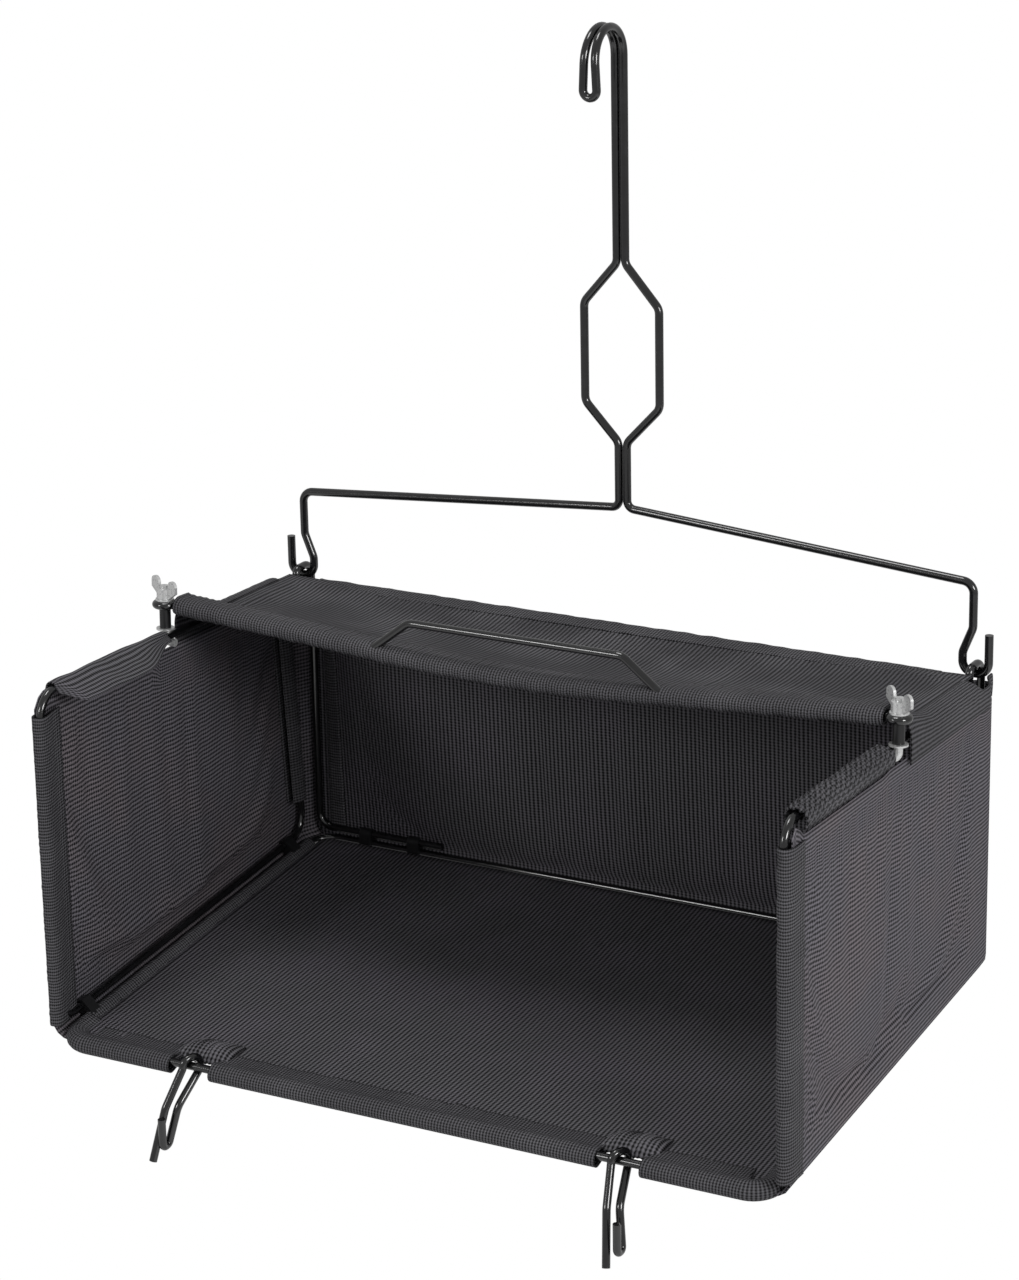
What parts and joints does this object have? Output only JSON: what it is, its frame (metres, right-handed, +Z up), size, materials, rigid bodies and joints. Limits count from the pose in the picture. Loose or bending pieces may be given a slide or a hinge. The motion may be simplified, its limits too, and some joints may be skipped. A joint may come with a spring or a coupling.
{
  "type": "folding hanging basket",
  "caption": "Open-fronted folding mesh basket on bent-wire frames with a clamped half hood, hanging by two eyes from a wire hanger.",
  "frame": {"origin": "inside of the hanger's top hook, at its crown", "axes": "+Z up, -Y towards the basket's open front, X along the basket's width"},
  "size_m": [0.4955, 0.3238, 0.6157],
  "materials": {
    "black_wire": "gloss black powder coat",
    "clip_steel": "black coated formed steel",
    "zinc_hardware": "bright zinc plate",
    "black_sleeve": "satin black",
    "mesh_fabric": "coarse ribbed charcoal mesh",
    "hem_fabric": "folded and stitched mesh hem"
  },
  "bodies": {
    "hanger": {"hanger": "black_wire"},
    "basket": {"back_panel": "mesh_fabric", "floor_frame": "black_wire", "floor_panel": "mesh_fabric", "front_hem_left": "hem_fabric", "front_hem_middle": "hem_fabric", "front_hem_right": "hem_fabric", "rear_clips": "clip_steel", "rear_frame": "black_wire", "rear_rail_hem": "hem_fabric", "rolled_hem_left": "hem_fabric", "rolled_hem_right": "hem_fabric", "side_clips_left": "clip_steel", "side_clips_right": "clip_steel", "top_panel": "mesh_fabric"},
    "side_left": {"rail_hem_front_left": "hem_fabric", "rail_hem_rear_left": "hem_fabric", "side_frame_left": "black_wire", "side_panel_left": "mesh_fabric", "upright_hem_left": "hem_fabric"},
    "side_right": {"rail_hem_front_right": "hem_fabric", "rail_hem_rear_right": "hem_fabric", "side_frame_right": "black_wire", "side_panel_right": "mesh_fabric", "upright_hem_right": "hem_fabric"},
    "hood": {"bar_hem_left": "hem_fabric", "bar_hem_right": "hem_fabric", "clamp_sleeve_left": "black_sleeve", "clamp_sleeve_right": "black_sleeve", "hood_bar": "black_wire", "hook_bolt_left": "zinc_hardware", "hook_bolt_right": "zinc_hardware", "washers_left": "zinc_hardware", "washers_right": "zinc_hardware"},
    "wing_nut_left": {"wing_nut_left": "zinc_hardware"},
    "wing_nut_right": {"wing_nut_right": "zinc_hardware"},
    "front_hook_left": {"front_hook_left": "black_wire"},
    "front_hook_right": {"front_hook_right": "black_wire"}
  },
  "joints": [
    {"name": "basket_swing", "type": "hinge", "parent": "hanger", "child": "basket", "pos_m": [0, 0.0185, -0.3568], "axis": [1, 0, 0], "range_deg": [-60, 0]},
    {"name": "side_left_fold", "type": "hinge", "parent": "basket", "child": "side_left", "pos_m": [-0.231, -0.26306, -0.55352], "axis": [0, 0.9963, 0.0859], "range_deg": [0, 90]},
    {"name": "side_right_fold", "type": "hinge", "parent": "basket", "child": "side_right", "pos_m": [0.231, -0.26306, -0.55352], "axis": [0, -0.9963, -0.0859], "range_deg": [0, 90]},
    {"name": "hood_slide", "type": "slide", "parent": "basket", "child": "hood", "axis": [0, 0.9994, -0.0338], "range_m": [0, 0.06], "deforming": ["top_panel"]},
    {"name": "wing_nut_left_turn", "type": "hinge", "parent": "hood", "child": "wing_nut_left", "pos_m": [-0.2362, -0.12042, -0.33398], "axis": [0, 0.0338, 0.9994], "continuous": true},
    {"name": "wing_nut_right_turn", "type": "hinge", "parent": "hood", "child": "wing_nut_right", "pos_m": [0.2362, -0.12042, -0.33398], "axis": [0, 0.0338, 0.9994], "continuous": true},
    {"name": "front_hook_left_swing", "type": "hinge", "parent": "basket", "child": "front_hook_left", "pos_m": [-0.137, -0.2625, -0.56], "axis": [1, 0, 0], "range_deg": [-100, 20]},
    {"name": "front_hook_right_swing", "type": "hinge", "parent": "basket", "child": "front_hook_right", "pos_m": [0.137, -0.2625, -0.56], "axis": [1, 0, 0], "range_deg": [-100, 20]}
  ]
}
